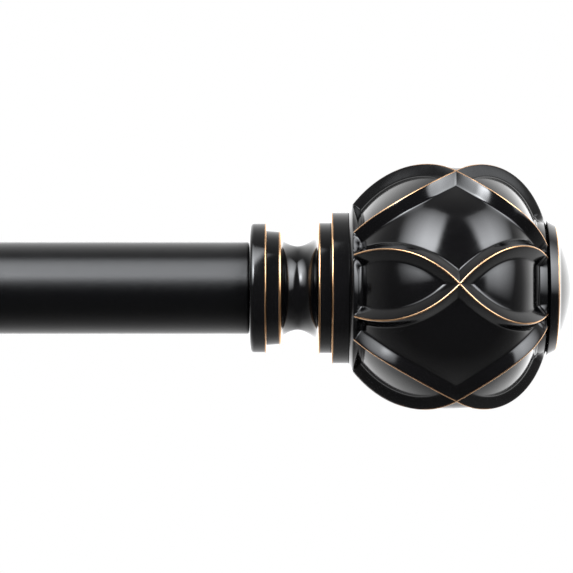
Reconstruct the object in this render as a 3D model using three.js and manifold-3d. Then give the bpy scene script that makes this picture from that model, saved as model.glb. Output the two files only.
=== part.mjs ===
// A telescoping curtain rod with a netted ball finial at each end, resting in the cups of two wall brackets.
// Millimetres. +X runs along the rod to the finial on the outer tube, +Y into the wall and +Z up.
// The origin is the middle of the right wall plate's back face, level with the rod's axis.
import * as THREE from "three";
import { mergeVertices } from "three/addons/utils/BufferGeometryUtils.js";
import Module from "manifold-3d";

const wasm = await Module();
wasm.setup();

// Driving dimensions.
const GAP = 0.3; // left between pieces that touch
const PROJECTION = 90; // wall to the rod's axis
const INSET = 98; // end of a tube to the middle of the bracket that holds it

const TUBE = {
  outer: { r: 12.7, wall: 0.9, length: 400 },
  inner: { r: 11.1, wall: 0.9, length: 400 },
  exposed: 180, // inner tube showing between the outer tube's mouth and its finial
  edge: 0.6, // rounding of a tube's end
};
const PLUG = { length: 18, bore: 4.3, flange: 3 };
const STUD = { r: 4, start: -16, end: 40 }; // M8, from inside the plug to inside the ball

// Finial: distances run outward from the end of its tube.
const COLLAR = { start: GAP, end: 4.7, r: 17.95, edge: 1.4 };
const NECK = {
  start: 5, ringR: 15.85, ringEndR: 15.55, ringEnd: 8.9, // the ring against the collar
  waistR: 11.65, waist: 13.4, coveR: [14.6, 16.5], // the hollow between the two rings
  shoulder: 19, shoulderR: 18.1, end: 22.3,
};
const SEAT = { start: 22.6, end: 27.3, r: 20.95 };
const BALL = {
  equator: 56.2, count: 6, // rib crossings round the equator
  crestR: 36.1, widest: -2.2, // where the crests are furthest out, counted from the equator
  height: 2.6, halfWidth: 2.5, // one rib, crest above foot, and foot to crest across
  // The hollows between the ribs end at a plain rim, as high as the ribs.
  neckSide: { reach: 33.25, power: 2, spread: 0.44, run: 15.4, hollow: -27.5, rim: -27.8, end: -28.6 },
  tipSide: { reach: 29.3, power: 2.6, spread: 0.55, run: 17.5, hollow: 22.9, rim: 23.2, end: 25.4 },
  rows: 6, // rows of facets from the equator to the end of a hollow
  clocking: 1.7, // degrees
};
const CAP = {
  start: 81.9, ringR: [18.4, 17.2], ringEnd: 84.2,
  domeR: 16.9, domeStart: 84.3, apex: 89.4, domeSteps: 4,
};

// Bracket: y runs back to the wall at 0, z is up from the rod's axis.
const PLATE = { width: 32, height: 76, thickness: 3, holeR: 2.4, holeZ: 26 };
const SLEEVE = { outer: [16, 14], inner: [12, 10], length: 48, screwY: -42 };
const ARM = { outer: [11.4, 9.4], inner: [8.4, 6.4], back: -18, front: -72.9 };
const CUP = { r: 13.1, wall: 3, lip: 8, width: 16, tang: [7.8, 5.8], tangEnd: -58 };
const RIVET = { r: 1.4, hole: 1.7, headR: 2.6, head: 1, y: -67.5 };
const BOSS = { r: 5, height: 4, hole: 2.3 };
const THUMB = { shankR: 2, tipR: 1.8, tip: 3, shank: 9.7, knobR: 7, knob: 6, flutes: 12, slot: 1.4 };
const WALL_SCREW = { shankR: 2.1, headR: 4.2, head: 2.6, point: 27, end: 30 };

const ROUND = 28; // sides on a turned piece
const TUBE_SIDES = 36;
const SMALL = 12; // sides on a screw, pin or bore

const finish = (color, roughness, metalness) => () => new THREE.MeshStandardMaterial({ color, roughness, metalness });
const satinBlack = finish(0x1d1c1f, 0.5, 0.5);
const glossBronze = finish(0x140f0d, 0.18, 0.3);
const zinc = finish(0xa9abad, 0.35, 0.9);
const nylon = finish(0xd9d6cc, 0.6, 0);
const blackNylon = finish(0x202022, 0.6, 0);

// ---- shapes ----

// Solid of revolution about +X: the profile is [x, r] points that end on the axis or close on themselves.
function turned(profile, sides = ROUND) {
  const points = profile.map(([x, r]) => new THREE.Vector2(r, x));
  return new THREE.LatheGeometry(points, sides).rotateZ(-Math.PI / 2);
}

// A ring or pipe: the outline of its outside, with a bore right through.
function bored(outline, bore, sides = ROUND) {
  const first = outline[0][0];
  const last = outline[outline.length - 1][0];
  return turned([[first, bore], ...outline, [last, bore], [first, bore]], sides);
}

// Points on a rounded corner of a profile, about the centre [x, r], between two angles in degrees.
function corner(x, r, radius, from, to) {
  const steps = 2;
  return Array.from({ length: steps + 1 }, (_, i) => {
    const angle = THREE.MathUtils.degToRad(from + ((to - from) * i) / steps);
    return [x + radius * Math.cos(angle), r + radius * Math.sin(angle)];
  });
}

function cylinder(r, low, high, sides = SMALL) {
  return new THREE.CylinderGeometry(r, r, high - low, sides).rotateX(Math.PI / 2).translate(0, 0, (low + high) / 2);
}

function box([xSize, zSize], yLow, yHigh) {
  return new THREE.BoxGeometry(xSize, yHigh - yLow, zSize).translate(0, (yLow + yHigh) / 2, 0);
}

function rectangle([width, height]) {
  const [x, y] = [width / 2, height / 2];
  return [[-x, -y], [x, -y], [x, y], [-x, y]].map((p) => new THREE.Vector2(...p));
}

// Extrudes a shape drawn in X and Z along Y, from y = low to y = high.
function extrudedInY(shape, low, high, curveSegments = 12) {
  const solid = new THREE.ExtrudeGeometry(shape, { depth: high - low, bevelEnabled: false, curveSegments });
  return solid.rotateX(Math.PI / 2).translate(0, high, 0);
}

// Extrudes a shape drawn in Y and Z along X, centred on x = 0.
function extrudedInX(shape, width, curveSegments = 12) {
  const solid = new THREE.ExtrudeGeometry(shape, { depth: width, bevelEnabled: false, curveSegments });
  const turn = new THREE.Matrix4().makeBasis(
    new THREE.Vector3(0, 1, 0), new THREE.Vector3(0, 0, 1), new THREE.Vector3(1, 0, 0),
  );
  return solid.translate(0, 0, -width / 2).applyMatrix4(turn);
}

// ---- joining and cutting ----

function toManifold(geometry) {
  const bare = geometry.clone();
  bare.deleteAttribute("normal");
  bare.deleteAttribute("uv");
  const merged = mergeVertices(bare, 1e-4);
  return new wasm.Manifold(new wasm.Mesh({
    numProp: 3,
    vertProperties: new Float32Array(merged.attributes.position.array),
    triVerts: new Uint32Array(merged.index.array),
  }));
}

function fromManifold(solid) {
  const { vertProperties, triVerts } = solid.getMesh();
  const geometry = new THREE.BufferGeometry();
  geometry.setAttribute("position", new THREE.BufferAttribute(vertProperties, 3));
  geometry.setIndex(new THREE.BufferAttribute(triVerts, 1));
  return geometry;
}

// The first solid with the joined ones added and then the cut ones taken away.
function shaped(first, { joined = [], cut = [] }) {
  let solid = toManifold(first);
  for (const piece of joined) solid = solid.add(toManifold(piece));
  for (const piece of cut) solid = solid.subtract(toManifold(piece));
  return fromManifold(solid);
}

function mesh(name, geometry, material) {
  const piece = new THREE.Mesh(geometry, material());
  piece.name = name;
  return piece;
}

// ---- rod ----

function tube({ r, wall }, low, high) {
  const e = TUBE.edge;
  const outline = [...corner(low + e, r - e, e, 180, 90), ...corner(high - e, r - e, e, 90, 0)];
  return bored(outline, r - wall, TUBE_SIDES);
}

// A threaded plug pressed into a tube, from x = low to high.
function endPlug({ r, wall }, low, high) {
  const out = r - wall - GAP;
  return bored([[low, out], [high, out]], PLUG.bore);
}

// The inner tube's hidden end runs in the outer tube on this plug's flange.
function glidePlug(end) {
  const body = TUBE.inner.r - TUBE.inner.wall - GAP;
  const flange = TUBE.outer.r - TUBE.outer.wall - GAP;
  const [low, seat, high] = [end - PLUG.length, end + GAP, end + GAP + PLUG.flange];
  return turned([[low, 0], [low, body], [seat, body], [seat, flange], [high, flange], [high, 0]]);
}

function rod(rightEnd) {
  const mouth = rightEnd - TUBE.outer.length;
  const leftEnd = mouth - TUBE.exposed;
  const hidden = leftEnd + TUBE.inner.length;
  const group = new THREE.Group();
  group.add(
    mesh("outer_tube", tube(TUBE.outer, mouth, rightEnd), satinBlack),
    mesh("inner_tube", tube(TUBE.inner, leftEnd, hidden), satinBlack),
    mesh("outer_end_plug", endPlug(TUBE.outer, rightEnd - PLUG.length - GAP, rightEnd - GAP), zinc),
    mesh("inner_end_plug", endPlug(TUBE.inner, leftEnd + GAP, leftEnd + PLUG.length + GAP), zinc),
    mesh("glide_plug", glidePlug(hidden), blackNylon),
  );
  return group;
}

// ---- finial ----

function collar() {
  const { start, end, r, edge } = COLLAR;
  const outline = [[start, r - edge], ...corner(start + edge, r - edge, edge, 150, 90), [end, r]];
  return bored(outline, PLUG.bore);
}

// One side of the hollow between the neck's rings: t runs from the waist, 0, to the ring, 1.
function cove(t, rim) {
  const power = 1.72;
  return NECK.waistR + (rim - NECK.waistR) * (1 - (1 - t ** power) ** (1 / power));
}

function neck() {
  const steps = [1, 0.9, 0.65, 0.35];
  const left = steps.map((t) => [NECK.waist - t * (NECK.waist - NECK.ringEnd), cove(t, NECK.coveR[0])]);
  const right = steps.map((t) => [NECK.waist + t * (NECK.shoulder - NECK.waist), cove(t, NECK.coveR[1])]);
  const outline = [
    [NECK.start, NECK.ringR], [NECK.ringEnd - 0.5, NECK.ringEndR],
    ...left, [NECK.waist, NECK.waistR], ...right.reverse(),
    [NECK.shoulder, NECK.shoulderR], [NECK.end, NECK.shoulderR],
  ];
  return bored(outline, PLUG.bore);
}

function seatRing() {
  const { start, end, r } = SEAT;
  return bored([[start, r], [end, r]], PLUG.bore);
}

// The crest surface's radius and slope at distance d from the equator, towards the tip if positive.
function crest(d) {
  const away = d - BALL.widest;
  const { reach, power } = away < 0 ? BALL.neckSide : BALL.tipSide;
  const t = Math.abs(away) / reach;
  const radius = BALL.crestR * (1 - t ** power) ** (1 / power);
  const steepness = (BALL.crestR / reach) * t ** (power - 1) * (1 - t ** power) ** (1 / power - 1);
  return { radius, slope: -Math.sign(away) * steepness };
}

// How far round a rib has left the crossing that it starts from, and how fast, in radians.
function ribAngle(d) {
  const { spread, run } = d < 0 ? BALL.neckSide : BALL.tipSide;
  const fade = Math.exp(-Math.abs(d) / run);
  return { angle: spread * (1 - fade), rate: (spread / run) * fade };
}

// One row of the net, with hollows of a given depth: eight points in each sector, on the crests, on the feet and
// between the ribs.
function netRow(d, depth) {
  const { radius, slope } = crest(d);
  const { angle, rate } = ribAngle(d);
  const half = Math.PI / BALL.count;
  const rib = Math.max(angle, 0.008);
  const width = (BALL.halfWidth / radius) * Math.hypot(1, radius * rate);
  const lensFoot = Math.max(rib - width, rib * 0.4);
  const diamondFoot = Math.min(rib + width, rib + (half - rib) * 0.6);
  const tilt = Math.hypot(1, slope);
  const normal = [-slope / tilt, 1 / tilt];
  const turns = [0, lensFoot, rib, diamondFoot, half];
  const sector = [...turns, ...turns.slice(1, 4).reverse().map((turn) => 2 * half - turn)];
  const points = [];
  for (let k = 0; k < BALL.count; k++)
    for (const turn of sector) {
      const away = Math.abs(half - Math.abs(half - turn) - rib);
      const sunk = depth * Math.min(1, away / width);
      points.push({ turn: turn + 2 * half * k, x: BALL.equator + d - sunk * normal[0], r: radius - sunk * normal[1] });
    }
  return points;
}

function nettedBall() {
  const { neckSide, tipSide } = BALL;
  const net = [netRow(neckSide.end, 0), netRow(neckSide.rim, 0)];
  for (let i = -BALL.rows; i <= BALL.rows; i++) {
    const far = i < 0 ? neckSide.hollow : tipSide.hollow;
    net.push(netRow(far * Math.sin((Math.abs(i) / BALL.rows) * (Math.PI / 2)) ** 1.4, BALL.height));
  }
  net.push(netRow(tipSide.rim, 0), netRow(tipSide.end, 0));
  const plain = (row, x, r) => row.map(({ turn }) => ({ turn, x, r }));
  const [first, last] = [net[0], net[net.length - 1]];
  const rows = [
    plain(first, STUD.end + 2, 0), plain(first, STUD.end + 2, PLUG.bore),
    plain(first, BALL.equator + neckSide.end, PLUG.bore),
    ...net,
    plain(last, BALL.equator + tipSide.end, 0),
  ];
  const sides = first.length;
  const geometry = turned(rows.map((row) => [row[0].x, row[0].r]), sides);
  const position = geometry.getAttribute("position");
  for (let side = 0; side <= sides; side++)
    rows.forEach((row, i) => {
      const { turn, x, r } = row[side % sides];
      // The crossings face the front, -Y, and each side follows the last one round +X.
      position.setXYZ(side * rows.length + i, x, -r * Math.cos(turn), -r * Math.sin(turn));
    });
  return geometry.rotateX(-THREE.MathUtils.degToRad(BALL.clocking));
}

function cap() {
  const dome = Array.from({ length: CAP.domeSteps }, (_, i) => {
    const angle = (i / CAP.domeSteps) * (Math.PI / 2);
    return [CAP.domeStart + (CAP.apex - CAP.domeStart) * Math.sin(angle), CAP.domeR * Math.cos(angle)];
  });
  return turned([
    [CAP.start, 0], [CAP.start, CAP.ringR[0]], [CAP.ringEnd, CAP.ringR[1]], ...dome, [CAP.apex, 0],
  ]);
}

// A finial on the end of a tube at x, pointing outward: direction is 1 for +X and -1 for -X.
function finial(side, x, direction) {
  const group = new THREE.Group();
  group.position.x = x;
  group.rotation.z = direction > 0 ? 0 : Math.PI;
  group.add(
    mesh(`finial_collar_${side}`, collar(), glossBronze),
    mesh(`finial_neck_${side}`, neck(), glossBronze),
    mesh(`finial_seat_ring_${side}`, seatRing(), glossBronze),
    mesh(`finial_ball_${side}`, nettedBall(), glossBronze),
    mesh(`finial_cap_${side}`, cap(), glossBronze),
    mesh(`finial_stud_${side}`, turned([[STUD.start, 0], [STUD.start, STUD.r], [STUD.end, STUD.r], [STUD.end, 0]],
      SMALL), zinc),
  );
  return group;
}

// ---- bracket ----

function wallPlate() {
  const radius = PLATE.width / 2;
  const straight = PLATE.height / 2 - radius;
  const shape = new THREE.Shape();
  shape.absarc(0, straight, radius, 0, Math.PI);
  shape.absarc(0, -straight, radius, Math.PI, 2 * Math.PI);
  for (const z of [-PLATE.holeZ, PLATE.holeZ])
    shape.holes.push(new THREE.Path().absarc(0, z, PLATE.holeR, 0, 2 * Math.PI));
  return extrudedInY(shape, -PLATE.thickness, 0, 8);
}

function armSleeve() {
  const shape = new THREE.Shape(rectangle(SLEEVE.outer));
  shape.holes.push(new THREE.Path(rectangle(SLEEVE.inner)));
  const front = -PLATE.thickness - GAP;
  const bottom = -SLEEVE.outer[1] / 2;
  const boss = cylinder(BOSS.r, bottom - BOSS.height, bottom + 1).translate(0, SLEEVE.screwY, 0);
  const hole = cylinder(BOSS.hole, bottom - BOSS.height - 1, 0).translate(0, SLEEVE.screwY, 0);
  return shaped(extrudedInY(shape, front - SLEEVE.length, front), { joined: [boss], cut: [hole] });
}

function slideArm() {
  const shape = new THREE.Shape(rectangle(ARM.outer));
  shape.holes.push(new THREE.Path(rectangle(ARM.inner)));
  const pinHole = cylinder(RIVET.hole, -10, 10).rotateY(Math.PI / 2).translate(0, RIVET.y, 0);
  return shaped(extrudedInY(shape, ARM.front, ARM.back), { cut: [pinHole] });
}

function cup() {
  const [r, out] = [CUP.r, CUP.r + CUP.wall];
  const shape = new THREE.Shape();
  shape.moveTo(-out, CUP.lip).lineTo(-out, 0).absarc(0, 0, out, Math.PI, 2 * Math.PI).lineTo(out, CUP.lip);
  shape.lineTo(r, CUP.lip).lineTo(r, 0).absarc(0, 0, r, 2 * Math.PI, Math.PI, true).lineTo(-r, CUP.lip);
  const hollow = extrudedInX(shape, CUP.width, 14).translate(0, -PROJECTION, 0);
  const tang = box(CUP.tang, -PROJECTION + r + CUP.wall / 2, CUP.tangEnd);
  const pinHole = cylinder(RIVET.hole, -10, 10).rotateY(Math.PI / 2).translate(0, RIVET.y, 0);
  const boss = cylinder(BOSS.r, -out - BOSS.height, -r - CUP.wall / 2).translate(0, -PROJECTION, 0);
  const hole = cylinder(BOSS.hole, -out - BOSS.height - 1, 0).translate(0, -PROJECTION, 0);
  return shaped(hollow, { joined: [tang, boss], cut: [hole, pinHole] });
}

function rivet() {
  const shank = ARM.outer[0] / 2 + GAP;
  const end = shank + RIVET.head;
  const profile = [
    [-end, 0], [-end, RIVET.headR * 0.6], [-shank, RIVET.headR], [-shank, RIVET.r],
    [shank, RIVET.r], [shank, RIVET.headR], [end, RIVET.headR * 0.6], [end, 0],
  ];
  return turned(profile, SMALL).translate(0, RIVET.y, 0);
}

// A thumb screw under a boss, and the nylon tip above it, whose top is at z = top.
function thumbScrew(y, top) {
  const seat = top - THUMB.tip - GAP;
  const [shankEnd, knobEnd] = [seat - THUMB.shank, seat - THUMB.shank - THUMB.knob];
  const rim = new THREE.Shape(Array.from({ length: THUMB.flutes * 2 }, (_, i) => {
    const angle = (i * Math.PI) / THUMB.flutes;
    const r = THUMB.knobR - (i % 2) * 0.5;
    return new THREE.Vector2(r * Math.cos(angle), r * Math.sin(angle));
  }));
  const knob = new THREE.ExtrudeGeometry(rim, { depth: THUMB.knob, bevelEnabled: false }).translate(0, 0, knobEnd);
  const slot = new THREE.BoxGeometry(20, THUMB.slot, 3).translate(0, 0, knobEnd);
  const shank = cylinder(THUMB.shankR, shankEnd - 1, seat);
  return {
    screw: shaped(knob, { joined: [shank], cut: [slot] }).translate(0, y, 0),
    tip: cylinder(THUMB.tipR, top - THUMB.tip, top).translate(0, y, 0),
  };
}

function wallScrew(z) {
  const { shankR, headR, head, point, end } = WALL_SCREW;
  const seat = -PLATE.thickness - GAP;
  const profile = [
    [seat - head, 0], [seat - head, headR * 0.7], [seat - head * 0.5, headR], [seat, headR],
    [seat, shankR], [point, shankR], [end, 0],
  ];
  return turned(profile, SMALL).rotateZ(Math.PI / 2).translate(0, 0, z);
}

// A bracket at x, holding a tube of radius rodR.
function bracket(side, x, rodR) {
  const cupScrew = thumbScrew(-PROJECTION, -rodR - GAP);
  const armScrew = thumbScrew(SLEEVE.screwY, -ARM.outer[1] / 2 - GAP);
  const group = new THREE.Group();
  group.position.x = x;
  group.add(
    mesh(`wall_plate_${side}`, wallPlate(), satinBlack),
    mesh(`arm_sleeve_${side}`, armSleeve(), satinBlack),
    mesh(`slide_arm_${side}`, slideArm(), satinBlack),
    mesh(`cup_${side}`, cup(), satinBlack),
    mesh(`cup_rivet_${side}`, rivet(), satinBlack),
    mesh(`cup_screw_${side}`, cupScrew.screw, satinBlack),
    mesh(`cup_screw_tip_${side}`, cupScrew.tip, nylon),
    mesh(`arm_screw_${side}`, armScrew.screw, satinBlack),
    mesh(`arm_screw_tip_${side}`, armScrew.tip, nylon),
    mesh(`wall_screw_upper_${side}`, wallScrew(PLATE.holeZ), satinBlack),
    mesh(`wall_screw_lower_${side}`, wallScrew(-PLATE.holeZ), satinBlack),
  );
  return group;
}

// ---- the whole object ----

const rightEnd = INSET;
const leftEnd = rightEnd - TUBE.outer.length - TUBE.exposed;

const onAxis = new THREE.Group();
onAxis.position.y = -PROJECTION;
onAxis.add(rod(rightEnd), finial("R", rightEnd, 1), finial("L", leftEnd, -1));

const curtainRod = new THREE.Group();
curtainRod.add(onAxis, bracket("R", 0, TUBE.outer.r), bracket("L", leftEnd + INSET, TUBE.inner.r));

export default curtainRod;
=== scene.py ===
"""Looks of a telescoping curtain rod with netted ball finials on two wall brackets."""
import math

import bmesh
import bpy
import numpy as np
from mathutils import Matrix, Vector


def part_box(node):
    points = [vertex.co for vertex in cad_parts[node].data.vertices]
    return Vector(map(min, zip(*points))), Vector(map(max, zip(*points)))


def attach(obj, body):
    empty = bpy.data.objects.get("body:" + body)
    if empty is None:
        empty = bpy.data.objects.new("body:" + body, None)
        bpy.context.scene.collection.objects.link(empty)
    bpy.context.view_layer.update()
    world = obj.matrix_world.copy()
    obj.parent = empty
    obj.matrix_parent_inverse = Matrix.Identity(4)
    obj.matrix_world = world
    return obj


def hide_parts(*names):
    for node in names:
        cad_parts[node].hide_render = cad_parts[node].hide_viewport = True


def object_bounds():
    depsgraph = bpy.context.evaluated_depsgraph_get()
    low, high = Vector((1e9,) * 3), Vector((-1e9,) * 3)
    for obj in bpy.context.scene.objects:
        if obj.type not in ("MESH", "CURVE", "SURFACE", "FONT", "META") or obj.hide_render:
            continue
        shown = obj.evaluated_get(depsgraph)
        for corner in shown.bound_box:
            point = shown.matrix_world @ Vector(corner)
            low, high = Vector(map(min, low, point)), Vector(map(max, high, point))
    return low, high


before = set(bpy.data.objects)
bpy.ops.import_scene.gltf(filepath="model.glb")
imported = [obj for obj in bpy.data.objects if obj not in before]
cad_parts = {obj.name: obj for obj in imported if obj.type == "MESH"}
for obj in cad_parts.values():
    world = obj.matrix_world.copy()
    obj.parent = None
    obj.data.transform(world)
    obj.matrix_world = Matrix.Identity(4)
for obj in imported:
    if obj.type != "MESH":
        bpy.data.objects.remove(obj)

CAD_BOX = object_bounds()
MM = 0.001
SIDES = {"R": "right", "L": "left"}

# ---- places, from the frame: positions in metres, radii and lengths in millimetres ----

outer_low, outer_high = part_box("outer_tube")
inner_low, inner_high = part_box("inner_tube")
AXIS_Y = (outer_low[1] + outer_high[1]) / 2
AXIS_Z = (outer_low[2] + outer_high[2]) / 2
INNER_R = (inner_high[2] - inner_low[2]) / 2 / MM
TUBE_WALL = 0.9
BORE = 4.3
END = {"R": outer_high[0], "L": inner_low[0]}


def middle(node):
    low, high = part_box(node)
    return [(a + b) / 2 for a, b in zip(low, high)]


BRACKET_X = {side: middle("wall_plate_" + side)[0] for side in SIDES}

# ---- finial sizes, in millimetres outward from the end of its tube ----

# A value of the wear attribute: rubbed through to copper.
RUBBED = 1.0

# The net's rib crests lie on a superellipse on each side of WIDEST. Each side has the superellipse's reach
# and power, how far round the ribs spread (radians) and over what run, and where the net ends, the ball ends
# and how deep the shelf between the two is cut. Distances are from the equator.
NET_COUNT = 6
EQUATOR = 56.2
CREST_R = 36.1
WIDEST = -2.2
RIB_HEIGHT = 2.6
RIB_HALF = 2.5
NECK_SIDE = dict(reach=33.25, power=2.0, spread=0.44, run=15.4, rim=-27.8, end=-28.8, shelf=0.0)
TIP_SIDE = dict(reach=29.3, power=2.6, spread=0.55, run=17.5, rim=24.3, end=25.2, shelf=0.8)
CLOCKING = math.radians(1.7)

# Distances from the crest of the points across one flank.
CREST_ACROSS = [0.1, 0.2, 0.32, 0.45, 0.65]
FLANK_ACROSS = [1.0, 1.5, 1.9, 2.2, 2.4, 2.55, 2.7, 2.9, 3.2]
PANEL_COLUMNS = 5

# Half the width of the copper line along a crest, and how softly it ends.
WORN = 0.19
WORN_FADE = 0.1

# The wall where a panel runs out into the rim: how far short of the rim, and how deep the panel still is.
RIM_WALL = ((0.35, 1.0), (0.24, 0.93), (0.12, 0.6), (0.02, 0.15), (-0.08, 0.03), (-0.25, 0.0))

# ---- materials ----


def new_material(name):
    material = bpy.data.materials.new(name)
    material.use_nodes = True
    tree = material.node_tree
    shader = tree.nodes["Principled BSDF"]
    return material, tree, shader


def node(tree, kind, inputs=None, **settings):
    made = tree.nodes.new("ShaderNode" + kind)
    for key, value in settings.items():
        setattr(made, key, value)
    for key, value in (inputs or {}).items():
        if isinstance(value, bpy.types.NodeSocket):
            tree.links.new(value, made.inputs[key])
        else:
            made.inputs[key].default_value = value
    return made


def noise(tree, scale, detail=3.0, roughness=0.5):
    place = node(tree, "TexCoord").outputs["Object"]
    inputs = {"Vector": place, "Scale": scale, "Detail": detail, "Roughness": roughness}
    return node(tree, "TexNoise", inputs).outputs["Fac"]


def ramp(tree, value, low, high, to_low=0.0, to_high=1.0):
    made = node(tree, "MapRange", {"Value": value, "From Min": low, "From Max": high,
                                   "To Min": to_low, "To Max": to_high}, clamp=True)
    return made.outputs["Result"]


def maths(tree, operation, a, b):
    return node(tree, "Math", {0: a, 1: b}, operation=operation).outputs[0]


def colour_mix(tree, factor, a, b):
    made = node(tree, "Mix", data_type="RGBA")
    for key, value in ((0, factor), (6, a), (7, b)):
        if isinstance(value, bpy.types.NodeSocket):
            tree.links.new(value, made.inputs[key])
        else:
            made.inputs[key].default_value = value
    return made.outputs[2]


def bump(tree, height, distance, strength=1.0):
    made = node(tree, "Bump", {"Height": height, "Distance": distance, "Strength": strength})
    return made.outputs["Normal"]


def lacquer():
    """Gloss black lacquer, rubbed through to copper where the wear attribute says."""
    material, tree, shader = new_material("finial_lacquer")
    wear = node(tree, "Attribute", attribute_name="wear").outputs["Fac"]
    rubbed = maths(tree, "MULTIPLY", wear, ramp(tree, noise(tree, 260, 4), 0.32, 0.6, 0.55, 1.0))
    bare = ramp(tree, rubbed, 0.4, 0.62)
    halo = ramp(tree, rubbed, 0.1, 0.5)
    black = colour_mix(tree, noise(tree, 90), (0.0006, 0.0006, 0.0008, 1), (0.0013, 0.0012, 0.0013, 1))
    brown = colour_mix(tree, halo, black, (0.040, 0.016, 0.008, 1))
    copper = colour_mix(tree, noise(tree, 400, 2), (0.48, 0.26, 0.12, 1), (0.72, 0.46, 0.26, 1))
    links = tree.links
    links.new(colour_mix(tree, bare, brown, copper), shader.inputs["Base Color"])
    links.new(bare, shader.inputs["Metallic"])
    smooth = ramp(tree, noise(tree, 180, 3), 0.3, 0.7, 0.09, 0.14)
    rough = node(tree, "Mix", data_type="FLOAT")
    links.new(bare, rough.inputs[0])
    links.new(smooth, rough.inputs[2])
    rough.inputs[3].default_value = 0.27
    links.new(rough.outputs[0], shader.inputs["Roughness"])
    links.new(bump(tree, noise(tree, 420, 2), 0.00002, 0.35), shader.inputs["Normal"])
    shader.inputs["IOR"].default_value = 1.5
    return material


def enamel(name, dark, light, rough, grain=900, along=0.0):
    """Satin black enamel, with the fine grain of a sprayed coat. Along is how much its highlights are drawn
    out along the rod."""
    material, tree, shader = new_material(name)
    cloud = noise(tree, 60, 4)
    tree.links.new(colour_mix(tree, cloud, dark, light), shader.inputs["Base Color"])
    cloudy = ramp(tree, noise(tree, 300, 3), 0.3, 0.7, rough - 0.03, rough + 0.03)
    tree.links.new(cloudy, shader.inputs["Roughness"])
    tree.links.new(bump(tree, noise(tree, grain, 2), 0.00003, 0.4), shader.inputs["Normal"])
    shader.inputs["IOR"].default_value = 1.5
    if along:
        shader.inputs["Anisotropic"].default_value = along
        shader.inputs["Anisotropic Rotation"].default_value = 0.25
        round_axis = node(tree, "Tangent", direction_type="RADIAL", axis="X")
        tree.links.new(round_axis.outputs[0], shader.inputs["Tangent"])
    return material


def bright_zinc():
    material, tree, shader = new_material("zinc_steel")
    cloud = noise(tree, 240, 4)
    tint = colour_mix(tree, cloud, (0.50, 0.51, 0.53, 1), (0.66, 0.66, 0.64, 1))
    tree.links.new(tint, shader.inputs["Base Color"])
    tree.links.new(ramp(tree, cloud, 0.3, 0.7, 0.26, 0.42), shader.inputs["Roughness"])
    tree.links.new(bump(tree, noise(tree, 1500, 2), 0.00002, 0.3), shader.inputs["Normal"])
    shader.inputs["Metallic"].default_value = 1.0
    return material


def plastic(name, dark, light, rough):
    material, tree, shader = new_material(name)
    cloud = noise(tree, 300, 3)
    tree.links.new(colour_mix(tree, cloud, dark, light), shader.inputs["Base Color"])
    tree.links.new(ramp(tree, cloud, 0.3, 0.7, rough - 0.05, rough + 0.05), shader.inputs["Roughness"])
    tree.links.new(bump(tree, noise(tree, 2500, 2), 0.00002, 0.4), shader.inputs["Normal"])
    return material


MATERIALS = {
    "finial_lacquer": lacquer(),
    "rod_black": enamel(
        "rod_black", (0.0003, 0.0003, 0.0005, 1), (0.0007, 0.0007, 0.0010, 1), 0.36, along=0.92),
    "bracket_black": enamel(
        "bracket_black", (0.009, 0.009, 0.010, 1), (0.014, 0.013, 0.014, 1), 0.38),
    "screw_black": enamel(
        "screw_black", (0.010, 0.010, 0.011, 1), (0.018, 0.017, 0.018, 1), 0.3, grain=1600),
    "zinc_steel": bright_zinc(),
    "nylon_tip": plastic(
        "nylon_tip", (0.62, 0.59, 0.50, 1), (0.74, 0.71, 0.63, 1), 0.45),
    "nylon_glide": plastic(
        "nylon_glide", (0.014, 0.014, 0.016, 1), (0.022, 0.022, 0.024, 1), 0.5),
}

# ---- meshes ----


def add_piece(name, mesh, slot, body, replaced, sharp=38):
    """Puts a finished mesh in the scene as a piece that stands for some CAD nodes."""
    mesh.materials.clear()
    mesh.materials.append(MATERIALS[slot])
    mesh.shade_smooth()
    mesh.set_sharp_from_angle(angle=math.radians(sharp))
    piece = bpy.data.objects.new(name, mesh)
    bpy.context.collection.objects.link(piece)
    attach(piece, body)
    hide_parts(*replaced)
    return piece


def merged(mesh):
    """Joins the points that lie together, and turns the faces outward."""
    bm = bmesh.new()
    bm.from_mesh(mesh)
    bmesh.ops.remove_doubles(bm, verts=bm.verts, dist=1e-6)
    bmesh.ops.recalc_face_normals(bm, faces=bm.faces)
    bm.to_mesh(mesh)
    bm.free()
    return mesh


def ring_mesh(name, rows, wear=None):
    """A closed mesh from rows of points round an axis, each row joined to the next. The first and last rows
    are each one place on the axis, or the same ring."""
    rows = np.asarray(rows, float)
    count, around, _ = rows.shape
    mesh = bpy.data.meshes.new(name)
    index = np.arange(count * around).reshape(count, around)
    here, after = index[:-1], index[1:]
    quads = np.stack([here, np.roll(here, -1, 1), np.roll(after, -1, 1), after], -1).reshape(-1, 4)
    mesh.from_pydata(rows.reshape(-1, 3).tolist(), [], quads.tolist())
    if wear is not None:
        layer = mesh.attributes.new("wear", "FLOAT", "POINT")
        layer.data.foreach_set("value", np.asarray(wear, float).reshape(-1))
    return merged(mesh)


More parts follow.
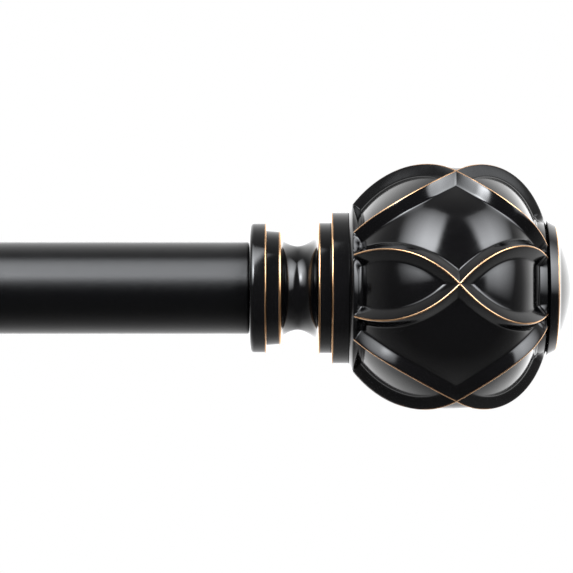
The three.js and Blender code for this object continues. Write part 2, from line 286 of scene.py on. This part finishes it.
def filleted(corners, steps=5, apron=0.25):
    """A profile with its corners rounded. Each corner is (x, r, fillet radius, wear), and the last two may be
    left out. A worn corner gets a point just past each end of its curve, so that the wear stops there."""
    corners = [tuple(c) + (0.0, 0.0)[len(c) - 2:] for c in corners]
    profile = []
    for i, (x, r, fillet, wear) in enumerate(corners):
        here = np.array([x, r], float)
        if fillet == 0 or i in (0, len(corners) - 1):
            profile.append((x, r, wear))
            continue
        back = np.array(corners[i - 1][:2], float) - here
        ahead = np.array(corners[i + 1][:2], float) - here
        back, ahead = back / np.linalg.norm(back), ahead / np.linalg.norm(ahead)
        half = math.acos(np.clip(back @ ahead, -1, 1)) / 2
        reach = fillet / math.tan(half)
        start, end = here + back * reach, here + ahead * reach
        if wear:
            profile.append((*(start + back * apron), 0.0))
        for t in np.linspace(0, 1, steps + 1):
            point = (1 - t) ** 2 * start + 2 * t * (1 - t) * here + t * t * end
            profile.append((*point, wear))
        if wear:
            profile.append((*(end + ahead * apron), 0.0))
    return profile


def lathe(name, profile, around=160):
    """A solid of revolution about +X from (x, r, wear) points."""
    profile = np.array([tuple(p) + (0.0,) * (3 - len(p)) for p in profile])
    turns = np.linspace(0, 2 * math.pi, around, endpoint=False)
    rows = np.empty((len(profile), around, 3))
    rows[..., 0] = profile[:, :1]
    rows[..., 1] = -profile[:, 1:2] * np.cos(turns)
    rows[..., 2] = -profile[:, 1:2] * np.sin(turns)
    wear = np.repeat(profile[:, 2:3], around, 1)
    return ring_mesh(name, rows * MM, wear)


def bored(corners):
    """Closes the outline of a ring's outside with a bore right through."""
    first, last = corners[0], corners[-1]
    return [(first[0], BORE), *corners, (last[0], BORE), (first[0], BORE)]


def placed(mesh, x, y, z, turn=None):
    matrix = Matrix.Translation((x, y, z))
    mesh.transform(matrix @ turn if turn else matrix)
    mesh.update()
    return mesh


HALF_TURN_Z = Matrix.Rotation(math.pi, 4, "Z")
X_TO_Y = Matrix.Rotation(math.pi / 2, 4, "Z")
X_TO_DOWN = Matrix.Rotation(math.pi / 2, 4, "Y")


def on_rod(mesh, side):
    """Moves a mesh made outward from a tube's end onto that end of the rod."""
    return placed(mesh, END[side], AXIS_Y, AXIS_Z, HALF_TURN_Z if side == "L" else None)


# ---- rod ----


def tube(r, length):
    outside, inside = 0.7, 0.2
    bore = r - TUBE_WALL
    corners = [(0, bore, inside), (0, r, outside), (length, r, outside), (length, bore, inside)]
    corners = [(length / 2, bore), *corners, (length / 2, bore)]
    return lathe("tube", filleted(corners, 6), 192)


def end_plug(r, length):
    return lathe("end_plug", filleted(bored([(0, r, 0.5), (length, r, 0.5)])), 96)


def glide_plug(flange_r, length):
    r = INNER_R - TUBE_WALL - 0.3
    flange = length - 3
    corners = [(0, 0), (0, r, 0.5), (flange, r)]
    corners += [(flange, flange_r, 0.3), (length, flange_r, 0.8), (length, 0)]
    return lathe("glide", filleted(corners), 96)


def make_rod():
    pieces = (
        ("outer_tube", tube, "rod_black", "outer_rod"),
        ("inner_tube", tube, "rod_black", "inner_rod"),
        ("outer_end_plug", end_plug, "zinc_steel", "outer_rod"),
        ("inner_end_plug", end_plug, "zinc_steel", "inner_rod"),
        ("glide_plug", glide_plug, "nylon_glide", "inner_rod"),
    )
    for name, shape, slot, body in pieces:
        low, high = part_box(name)
        mesh = shape((high[2] - low[2]) / 2 / MM, (high[0] - low[0]) / MM)
        add_piece("rod_" + name, placed(mesh, low[0], AXIS_Y, AXIS_Z), slot, body, [name])


# ---- finial ----


def collar():
    r = 17.95
    return lathe("collar", filleted(bored([(0.2, r, 1.4), (4.8, r, 0.3, RUBBED)])))


def neck():
    """A slightly tapered ring, a hollow waist between two superelliptic coves, and a wider shoulder ring."""
    power = 1.72
    waist, waist_r = 13.4, 11.65
    shoulder_r = 18.13

    def cove(end, rim, parts):
        for part in parts:
            rise = 1 - (1 - part ** power) ** (1 / power)
            yield waist + part * (end - waist), waist_r + (rim - waist_r) * rise

    ring = [(4.84, 15.9, 0.15), (8.9, 15.6, 0.65, RUBBED)]
    near = cove(8.95, 14.5, np.sin(np.linspace(math.pi / 2, 0.06, 14)))
    far = cove(18.9, 16.5, np.sin(np.linspace(0.0, math.pi / 2, 15)))
    shoulder = [(18.95, shoulder_r, 0.4, RUBBED), (22.54, shoulder_r, 0.15)]
    return lathe("neck", filleted(bored([*ring, *near, *far, *shoulder])))


def seat_ring():
    r = 20.98
    return lathe("seat_ring", filleted(bored([(22.57, r, 0.3, RUBBED), (27.36, r, 0.2)])))


def cap():
    """A tapered ring with a shallow dome on it."""
    ring, dome_start, apex = 81.6, 84.3, 89.35
    dome_r, power = 16.75, 1.9
    rise = apex - dome_start
    dome = [(apex - rise * part ** power, dome_r * part) for part in np.linspace(0.985, 0.06, 18)]
    corners = [(ring, 0), (ring, 18.75, 0.2), (84.25, 17.45, 0.45, RUBBED), *dome, (apex, 0)]
    return lathe("cap", filleted(corners))


def crest(d):
    """Radius and slope of the surface that the rib crests lie on, at distance d from the equator."""
    away = d - WIDEST
    side = NECK_SIDE if away < 0 else TIP_SIDE
    t = abs(away) / side["reach"]
    power = side["power"]
    radius = CREST_R * (1 - t ** power) ** (1 / power)
    slope = CREST_R / side["reach"] * t ** (power - 1) * (1 - t ** power) ** (1 / power - 1)
    return radius, -math.copysign(slope, away)


def rib_angle(d):
    """How far round a rib has left its crossing, and how fast."""
    side = NECK_SIDE if d < 0 else TIP_SIDE
    fade = math.exp(-abs(d) / side["run"])
    return side["spread"] * (1 - fade), side["spread"] / side["run"] * fade


def rib_profile(across):
    """Height of a rib at a distance across it: a roof with a rounded ridge and a small fillet at its foot."""
    ridge, foot = 0.22, 0.09
    fall = np.sqrt(across ** 2 + ridge ** 2) - ridge
    roof = 1 - fall / RIB_HALF
    return RIB_HEIGHT * (roof + np.sqrt(roof ** 2 + foot ** 2)) / 2


def flank_turns(step, room):
    """Turns from a crest to the middle of the panel beside it. The points down the flank keep their steps,
    closed up evenly where the panel is too narrow for them."""
    columns = len(step) + PANEL_COLUMNS
    evenly = room * np.arange(1, columns + 1) / columns
    floor = max(0.0, room - step[-1]) * np.arange(1, PANEL_COLUMNS + 1) / PANEL_COLUMNS
    return np.minimum(np.concatenate([step, step[-1] + floor]), evenly)


def net_row(d, depth=1.0):
    """One row of the ball: turns round the axis, places and wear. Depth is how far its panels are cut in."""
    radius, slope = crest(d)
    angle, rate = rib_angle(d)
    half = math.pi / NET_COUNT
    lean = math.hypot(1, radius * rate)
    step = np.array(CREST_ACROSS + FLANK_ACROSS) * lean / radius
    lens, diamond = flank_turns(step, angle), flank_turns(step, half - angle)
    turns = np.concatenate([angle - lens[::-1], [angle], angle + diamond])
    turns = np.concatenate([turns, 2 * half - turns[-2:0:-1]])
    folded = half - np.abs(half - turns)
    across = np.abs(folded - angle) * radius / lean
    tilt = math.hypot(1, slope)
    sunk = (RIB_HEIGHT - rib_profile(across)) * depth
    x = EQUATOR + d + sunk * slope / tilt
    r = radius - sunk / tilt
    wear = np.clip((WORN + WORN_FADE - across) / (2 * WORN_FADE), 0, 1) * min(1, 1.5 * depth)
    all_turns = np.concatenate([turns + 2 * half * k for k in range(NET_COUNT)])
    handled = np.clip(2.2 * np.abs(np.cos(all_turns)), 0, 1)
    return all_turns, np.tile(x, NET_COUNT), np.tile(r, NET_COUNT), np.tile(wear, NET_COUNT) * handled


def net_rows(side):
    """The rows on one side of the equator, from it outward: the net, the wall of the rim, and the rim."""
    rim, shelf = side["rim"], side["shelf"]
    out = math.copysign(1, rim)
    deep = abs(rim) - RIM_WALL[0][0]
    parts = np.sin(np.linspace(0, math.pi / 2, 60)) ** 1.2
    rows = [net_row(out * deep * part) for part in parts[:-1]]
    rows += [net_row(rim - out * short, shelf + (1 - shelf) * depth) for short, depth in RIM_WALL]
    past = rim - out * RIM_WALL[-1][0]
    shares = np.linspace(0, 1, 7)[1:]
    return rows + [net_row(past + (side["end"] - past) * share, shelf * (1 - share)) for share in shares]


def netted_ball():
    net = [*net_rows(NECK_SIDE)[:0:-1], *net_rows(TIP_SIDE)]

    def plain(row, x, r):
        return row[0], np.full_like(row[0], x), np.full_like(row[0], r), np.zeros_like(row[0])

    bore_end, tip, tip_r = 42, 81.56, 17.5
    neck_side = [(bore_end, 0), (bore_end, BORE), (EQUATOR + NECK_SIDE["end"], BORE)]
    tip_side = [(tip, tip_r), (tip, 0)]
    rows = [*(plain(net[0], *p) for p in neck_side), *net, *(plain(net[-1], *p) for p in tip_side)]
    turns = np.array([row[0] for row in rows]) + CLOCKING
    x, r, wear = (np.array([row[i] for row in rows]) for i in (1, 2, 3))
    points = np.stack([x, -r * np.cos(turns), r * np.sin(turns)], -1)
    return ring_mesh("ball", points * MM, wear)


def threaded(name, start, end, r, pitch, depth, around=48, taper=0.0):
    """A screw thread about +X, with a chamfer at each end, or a point if taper is given."""
    per_turn = 8
    stations = np.arange(start, end, pitch / per_turn)
    turns = np.linspace(0, 2 * math.pi, around, endpoint=False)
    rows = []
    for x in stations:
        phase = (x / pitch - turns / (2 * math.pi)) % 1
        cut = depth * (1 - np.clip(np.abs(phase - 0.5) * 2.4 - 0.1, 0, 1))
        limit = r - depth * max(0, 1 - min(x - start, end - x) / depth)
        if taper:
            limit = min(limit, r * max(0.02, (end - x) / taper))
        radius = np.minimum(r - cut, limit) if limit > depth else np.full(around, limit)
        rows.append(np.stack([np.full(around, x), -radius * np.cos(turns), -radius * np.sin(turns)], -1))
    rows.insert(0, np.tile([start, 0, 0], (around, 1)))
    rows.append(np.tile([end, 0, 0], (around, 1)))
    return ring_mesh(name, np.array(rows) * MM)


def make_finial(side):
    body = SIDES[side] + "_finial"
    pieces = (
        ("collar", collar(), SIDES[side] + "_collar", "finial_lacquer"),
        ("neck", neck(), body, "finial_lacquer"),
        ("seat_ring", seat_ring(), body, "finial_lacquer"),
        ("ball", netted_ball(), body, "finial_lacquer"),
        ("cap", cap(), body, "finial_lacquer"),
        ("stud", threaded("stud", -16, 40, 4, 1.25, 0.7), body, "zinc_steel"),
    )
    for name, mesh, rides, slot in pieces:
        add_piece(f"{name}_{side}", on_rod(mesh, side), slot, rides, [f"finial_{name}_{side}"], 30)


# ---- brackets ----


def baked(holder):
    """The mesh that an object shows, with its curve or modifiers worked out."""
    bpy.context.view_layer.update()
    return bpy.data.meshes.new_from_object(holder.evaluated_get(bpy.context.evaluated_depsgraph_get()))


def outline_plate(name, loops, thickness, edge):
    """A flat piece in X and Y from closed outlines, the first its outside and the rest its holes, with
    rounded edges. Its thickness is along Z."""
    curve = bpy.data.curves.new(name, "CURVE")
    curve.dimensions = "2D"
    curve.fill_mode = "BOTH"
    curve.extrude = (thickness / 2 - edge) * MM
    curve.bevel_depth = edge * MM
    curve.bevel_resolution = 3
    curve.offset = -edge * MM
    for loop in loops:
        spline = curve.splines.new("POLY")
        spline.points.add(len(loop) - 1)
        for point, (x, y) in zip(spline.points, loop):
            point.co = (x * MM, y * MM, 0, 1)
        spline.use_cyclic_u = True
    holder = bpy.data.objects.new(name, curve)
    bpy.context.collection.objects.link(holder)
    mesh = baked(holder)
    bpy.data.objects.remove(holder)
    return merged(mesh)


def arc(cx, cy, r, start, end, steps=24):
    return [(cx + r * math.cos(math.radians(a)), cy + r * math.sin(math.radians(a)))
            for a in np.linspace(start, end, steps + 1)]


def rounded_rectangle(width, height, r):
    x, y = width / 2 - r, height / 2 - r
    corners = ((x, y), (-x, y), (-x, -y), (x, -y))
    return [point for i, corner in enumerate(corners) for point in arc(*corner, r, 90 * i, 90 * i + 90, 6)]


Z_TO_MINUS_Y = Matrix.Rotation(math.pi / 2, 4, "X")
Z_TO_X = Matrix(((0, 0, 1, 0), (1, 0, 0, 0), (0, 1, 0, 0), (0, 0, 0, 1)))


def combine(base, other, operation):
    """Joins, or cuts, one mesh with another."""
    holders = [bpy.data.objects.new("part", mesh) for mesh in (base, other)]
    for holder in holders:
        bpy.context.collection.objects.link(holder)
    modifier = holders[0].modifiers.new("combine", "BOOLEAN")
    modifier.object = holders[1]
    modifier.operation = operation
    modifier.solver = "EXACT"
    mesh = baked(holders[0])
    for holder in holders:
        bpy.data.objects.remove(holder)
    return mesh


def make_wall_plate(side):
    low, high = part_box("wall_plate_" + side)
    width, height = ((high[i] - low[i]) / MM for i in (0, 2))
    r = width / 2
    straight = height / 2 - r
    outside = [*arc(0, straight, r, 0, 180, 40), *arc(0, -straight, r, 180, 360, 40)]
    hole_r, hole_z = 2.4, 26
    holes = [arc(0, z, hole_r, 360, 0, 32)[:-1] for z in (-hole_z, hole_z)]
    mesh = outline_plate("plate", [outside, *holes], (high[1] - low[1]) / MM, 0.6)
    centre = middle("wall_plate_" + side)
    add_piece("bracket_plate_" + side, placed(mesh, *centre, Z_TO_MINUS_Y), "bracket_black", "wall_side",
              ["wall_plate_" + side])


def square_tube(outer, inner, length, edge):
    loops = [rounded_rectangle(*outer, 1.2), rounded_rectangle(*inner, 0.5)[::-1]]
    return outline_plate("square_tube", loops, length, edge)


def upright(r, low, high, around=48, edge=0.3):
    """A post about Z, from z = low to high."""
    mesh = lathe("post", filleted([(low, 0), (low, r, edge), (high, r, edge), (high, 0)]), around)
    mesh.transform(Matrix.Rotation(-math.pi / 2, 4, "Y"))
    return mesh


def with_boss(mesh, x, y, boss, bore):
    """Adds a thumb screw's boss under a mesh and bores it. Boss and bore are each (low, high)."""
    boss_r, bore_r = 5, 2.3
    mesh = combine(mesh, placed(upright(boss_r, *boss), x, y, AXIS_Z), "UNION")
    return combine(mesh, placed(upright(bore_r, *bore, edge=0), x, y, AXIS_Z), "DIFFERENCE")


def with_rivet_hole(mesh, side):
    """Bores a mesh from side to side for the rivet that holds the cup in the arm."""
    r, reach = 1.7, 10
    pin = lathe("pin", [(-reach, 0), (-reach, r), (reach, r), (reach, 0)], 32)
    placed(pin, BRACKET_X[side], middle("cup_rivet_" + side)[1], AXIS_Z)
    return combine(mesh, pin, "DIFFERENCE")


def make_sleeve(side):
    low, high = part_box("arm_sleeve_" + side)
    x = BRACKET_X[side]
    mesh = square_tube((16, 14), (12, 10), (high[1] - low[1]) / MM, 0.3)
    placed(mesh, x, (low[1] + high[1]) / 2, AXIS_Z, Z_TO_MINUS_Y)
    mesh = with_boss(mesh, x, middle("arm_screw_" + side)[1], (-11, -6), (-12, -2))
    add_piece("bracket_sleeve_" + side, mesh, "bracket_black", "wall_side", ["arm_sleeve_" + side])


def make_arm(side):
    low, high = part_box("slide_arm_" + side)
    mesh = square_tube((11.4, 9.4), (8.4, 6.4), (high[1] - low[1]) / MM, 0.3)
    placed(mesh, BRACKET_X[side], (low[1] + high[1]) / 2, AXIS_Z, Z_TO_MINUS_Y)
    mesh = with_rivet_hole(mesh, side)
    add_piece("bracket_arm_" + side, mesh, "bracket_black", SIDES[side] + "_arm", ["slide_arm_" + side])


def make_cup(side):
    """The open cup, its tang inside the arm and the boss of its screw."""
    low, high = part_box("cup_" + side)
    x = BRACKET_X[side]
    inside, outside, lip, tip_r = 13.1, 16.1, 8.0, 1.5
    end = [(-(inside + outside) / 2 + tip_r * math.cos(a), lip - tip_r + tip_r * math.sin(a))
           for a in np.linspace(0, math.pi, 9)]
    other = [(-u, v) for u, v in end]
    loop = [*arc(0, 0, inside, 360, 180, 48), *end, *arc(0, 0, outside, 180, 360, 48), *other[::-1]]
    mesh = placed(outline_plate("cup", [loop], (high[0] - low[0]) / MM, 0.7), x, AXIS_Y, AXIS_Z, Z_TO_X)
    tang_low, tang_high = AXIS_Y + 14.5 * MM, high[1]
    tang = outline_plate("tang", [rounded_rectangle(7.8, 5.8, 0.6)], (tang_high - tang_low) / MM, 0.3)
    mesh = combine(mesh, placed(tang, x, (tang_low + tang_high) / 2, AXIS_Z, Z_TO_MINUS_Y), "UNION")
    mesh = with_rivet_hole(with_boss(mesh, x, AXIS_Y, (-20.1, -14.6), (-21, -10)), side)
    add_piece("bracket_cup_" + side, mesh, "bracket_black", SIDES[side] + "_arm", ["cup_" + side])


def make_rivet(side):
    right = [(6, 1.4), (6, 2.6, 0.2), (7, 1.9, 0.5), (7, 0)]
    left = [(-x, *rest) for x, *rest in right[::-1]]
    mesh = lathe("rivet", filleted([*left, *right]), 48)
    placed(mesh, BRACKET_X[side], middle("cup_rivet_" + side)[1], AXIS_Z)
    add_piece("bracket_rivet_" + side, mesh, "bracket_black", SIDES[side] + "_arm", ["cup_rivet_" + side])


def knurled_knob(bottom, top, r):
    """A thumb screw's knob about Z, with cut flutes and rounded ends."""
    around, flutes = 216, 36
    turns = np.linspace(0, 2 * math.pi, around, endpoint=False)
    flute = 0.32 * (0.5 - 0.5 * np.cos(turns * flutes)) ** 1.5
    # how far in from the end, how far in from the outside, and how deep the flutes are there
    edge = ((0, r, 0), (0, 1.0, 0), (0.25, 0.45, 0), (0.8, 0.05, 0.6), (1.2, 0, 1))
    stations = [(bottom + rise, inset, cut) for rise, inset, cut in edge]
    stations += [(top - rise, inset, cut) for rise, inset, cut in edge[::-1]]
    rows = []
    for z, inset, cut in stations:
        radius = r - inset - flute * cut
        rows.append(np.stack([radius * np.cos(turns), radius * np.sin(turns), np.full(around, z)], -1))
    return ring_mesh("knob", np.array(rows) * MM)


def make_thumb_screw(kind, side):
    """The screw and the nylon tip under the cup or the sleeve."""
    low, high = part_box(f"{kind}_screw_{side}")
    x, y, _ = middle(f"{kind}_screw_{side}")
    bottom, top = low[2] / MM, high[2] / MM
    knob_height, knob_r = 6, 7
    knob = knurled_knob(bottom, bottom + knob_height, knob_r)
    slot = bpy.data.meshes.new("slot")
    slot_size = Matrix.Diagonal((0.02, 0.0014, 0.003, 1))
    bm = bmesh.new()
    bmesh.ops.create_cube(bm, size=1, matrix=Matrix.Translation((0, 0, bottom * MM)) @ slot_size)
    bm.to_mesh(slot)
    bm.free()
    knob = combine(knob, slot, "DIFFERENCE")
    thread = threaded("thread", -top, -(bottom + 5.5), 2, 0.7, 0.38, 32)
    thread.transform(X_TO_DOWN)
    mesh = placed(combine(knob, thread, "UNION"), x, y, 0)
    body = f"{SIDES[side]}_{kind}"
    add_piece(f"bracket_{kind}_screw_{side}", mesh, "screw_black", body + "_screw",
              [f"{kind}_screw_{side}"], 50)
    low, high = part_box(f"{kind}_screw_tip_{side}")
    tip = placed(upright(1.8, low[2] / MM, high[2] / MM, 48, 0.35), x, y, 0)
    add_piece(f"bracket_{kind}_tip_{side}", tip, "nylon_tip", body + "_tip", [f"{kind}_screw_tip_{side}"])


def cross_recess():
    """The cross cut in a wall screw's head, as a cutter about +X with its mouth at x = 0."""
    arms = []
    for size in ((0.9, 4.4), (4.4, 0.9)):
        arms.append(outline_plate("cross", [rounded_rectangle(*size, 0.2)], 3.2, 0.05))
    mesh = combine(arms[0], arms[1], "UNION")
    mesh.transform(Matrix.Rotation(math.pi / 2, 4, "Y"))
    return mesh


def make_wall_screw(place, side):
    low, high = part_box(f"wall_screw_{place}_{side}")
    x, _, z = middle(f"wall_screw_{place}_{side}")
    head, head_r, shank_r = 2.6, 4.2, 2.1
    shank_end = head + 3
    total = (high[1] - low[1]) / MM
    slopes = np.linspace(0.12, math.pi / 2, 10)
    dome = [(head * (1 - math.cos(a)), head_r * math.sin(a) ** 0.8) for a in slopes]
    mesh = lathe("head", [(0, 0), *dome, (head, shank_r), (shank_end, shank_r), (shank_end, 0)], 64)
    mesh = combine(mesh, cross_recess(), "DIFFERENCE")
    thread = threaded("wood_thread", head + 2.5, total, shank_r, 1.8, 0.55, 40, taper=6)
    mesh = combine(mesh, thread, "UNION")
    mesh.transform(X_TO_Y)
    add_piece(f"bracket_wall_screw_{place}_{side}", placed(mesh, x, low[1], z), "screw_black", "wall_side",
              [f"wall_screw_{place}_{side}"], 50)


def make_bracket(side):
    make_wall_plate(side)
    make_sleeve(side)
    make_arm(side)
    make_cup(side)
    make_rivet(side)
    for kind in ("cup", "arm"):
        make_thumb_screw(kind, side)
    for place in ("upper", "lower"):
        make_wall_screw(place, side)


# ---- studio ----


def make_camera():
    """Level with the rod and square to it, a little past its right end."""
    distance, past_end, above_axis = 0.896, 0.0103, 0.0004
    camera = bpy.data.cameras.new("camera")
    camera.sensor_width = 36
    camera.lens = 204.2
    camera.clip_start = 0.05
    camera.clip_end = 20
    holder = bpy.data.objects.new("camera", camera)
    holder.location = (END["R"] + past_end, AXIS_Y - distance, AXIS_Z + above_axis)
    holder.rotation_euler = (math.pi / 2, 0, 0)
    bpy.context.collection.objects.link(holder)
    bpy.context.scene.camera = holder


def softbox(name, azimuth, elevation, distance, width, height, roll, radiance, fades):
    """A soft box aimed at the finial, hottest at its middle height. Azimuth is from the camera's side,
    positive to the right. Fades are the shares of its width that its sides take to grow dark. With this
    energy, the emission strength is the radiance."""
    light = bpy.data.lights.new(name, "AREA")
    light.shape = "RECTANGLE"
    light.size = width
    light.size_y = height
    light.energy = math.pi * width * height
    light.color = (0.94, 0.965, 1.0)
    light.use_nodes = True
    tree = light.node_tree
    place = node(tree, "SeparateXYZ", {0: node(tree, "NewGeometry").outputs["Parametric"]})
    across, up = place.outputs["X"], place.outputs["Y"]
    rising = ramp(tree, up, 0.02, 0.5, 0.08, 1.0)
    falling = ramp(tree, up, 0.55, 1.0, 1.0, 0.12)
    first, second = ramp(tree, across, 0.0, fades[0]), ramp(tree, across, 1.0, 1 - fades[1])
    sides = maths(tree, "MULTIPLY", first, second)
    shape = maths(tree, "MULTIPLY", maths(tree, "MULTIPLY", rising, falling), sides)
    tree.links.new(maths(tree, "MULTIPLY", shape, radiance), tree.nodes["Emission"].inputs["Strength"])
    holder = bpy.data.objects.new(name, light)
    target = Vector((END["R"] + EQUATOR * MM, AXIS_Y, AXIS_Z))
    a, e = math.radians(azimuth), math.radians(elevation)
    away = Vector((math.sin(a) * math.cos(e), -math.cos(a) * math.cos(e), math.sin(e)))
    facing = away.to_track_quat("Z", "Y").to_matrix() @ Matrix.Rotation(math.radians(roll), 3, "Z")
    holder.location = target + away * distance
    holder.rotation_euler = facing.to_euler()
    holder.visible_camera = False
    bpy.context.collection.objects.link(holder)


def make_world():
    """White all round for the camera. For reflections it is a room that is dark in front and grows lighter
    towards the back, more so in its back corners, with a bright band along the horizon behind the rod."""
    world = bpy.data.worlds.new("studio")
    world.use_nodes = True
    tree = world.node_tree
    place = node(tree, "SeparateXYZ", {0: node(tree, "TexCoord").outputs["Generated"]})
    behind, up = place.outputs["Y"], place.outputs["Z"]
    curve = node(tree, "ValToRGB", {0: ramp(tree, behind, -1, 1)})
    stops = curve.color_ramp.elements
    stops[0].position, stops[0].color = 0.0, (0.13, 0.13, 0.14, 1)
    stops[1].position, stops[1].color = 1.0, (1.3, 1.3, 1.32, 1)
    for position, value in ((0.3, 0.13), (0.5, 0.36), (0.7, 0.6), (0.865, 1.1)):
        stop = stops.new(position)
        stop.color = (value, value, value, 1)
    height = node(tree, "Math", {0: up}, operation="ABSOLUTE").outputs[0]
    wall = maths(tree, "MULTIPLY", ramp(tree, behind, 0.15, 0.55), ramp(tree, height, 0.1, 0.5, 1.0, 0.0))
    wall = maths(tree, "MULTIPLY", wall, ramp(tree, place.outputs["X"], 0.2, 0.8, 1.0, 0.5))
    aside = node(tree, "Math", {0: place.outputs["X"]}, operation="ABSOLUTE").outputs[0]
    corner = maths(tree, "MULTIPLY", ramp(tree, aside, 0.1, 0.45), ramp(tree, behind, 0.05, 0.45))
    level = maths(tree, "MULTIPLY", ramp(tree, up, -0.35, 0.1, 0.8, 1.0), ramp(tree, corner, 0, 1, 1.0, 2.3))
    dim = node(tree, "VectorMath", {0: curve.outputs["Color"], 3: level}, operation="SCALE").outputs[0]
    lit = node(tree, "VectorMath", {0: (1.3, 1.3, 1.3), 3: wall}, operation="SCALE").outputs[0]
    room = node(tree, "VectorMath", {0: dim, 1: lit}, operation="ADD").outputs[0]
    seen = node(tree, "LightPath").outputs["Is Camera Ray"]
    tree.links.new(colour_mix(tree, seen, room, (1, 1, 1, 1)), tree.nodes["Background"].inputs["Color"])
    bpy.context.scene.world = world


def make_floor():
    """A pale floor well below the rod, out of the front view. The lacquer doesn't mirror it."""
    size = 0.9
    mesh = bpy.data.meshes.new("floor")
    bm = bmesh.new()
    bmesh.ops.create_circle(bm, cap_ends=True, segments=96, radius=size)
    bm.to_mesh(mesh)
    bm.free()
    material, tree, shader = new_material("floor")
    shader.inputs["Base Color"].default_value = (0.8, 0.8, 0.8, 1)
    shader.inputs["Roughness"].default_value = 0.9
    mesh.materials.append(material)
    floor = bpy.data.objects.new("floor", mesh)
    low, high = CAD_BOX
    floor.location = ((low[0] + high[0]) / 2, AXIS_Y, -0.3)
    floor.visible_glossy = False
    bpy.context.collection.objects.link(floor)


make_camera()
make_rod()
for side_name in SIDES:
    make_finial(side_name)
    make_bracket(side_name)
make_world()
make_floor()
softbox("left_box", -40, 40, 1.4, 1.2, 2.0, 8, 13, (0.6, 0.12))
softbox("right_box", 57, 31, 1.4, 1.5, 2.2, -12, 11, (0.12, 0.6))
softbox("hot_patch", -27, 27, 1.38, 0.5, 0.6, 0, 17, (0.4, 0.2))

scene = bpy.context.scene
scene.view_settings.view_transform = "Standard"
scene.view_settings.look = "None"

bpy.context.view_layer.update()
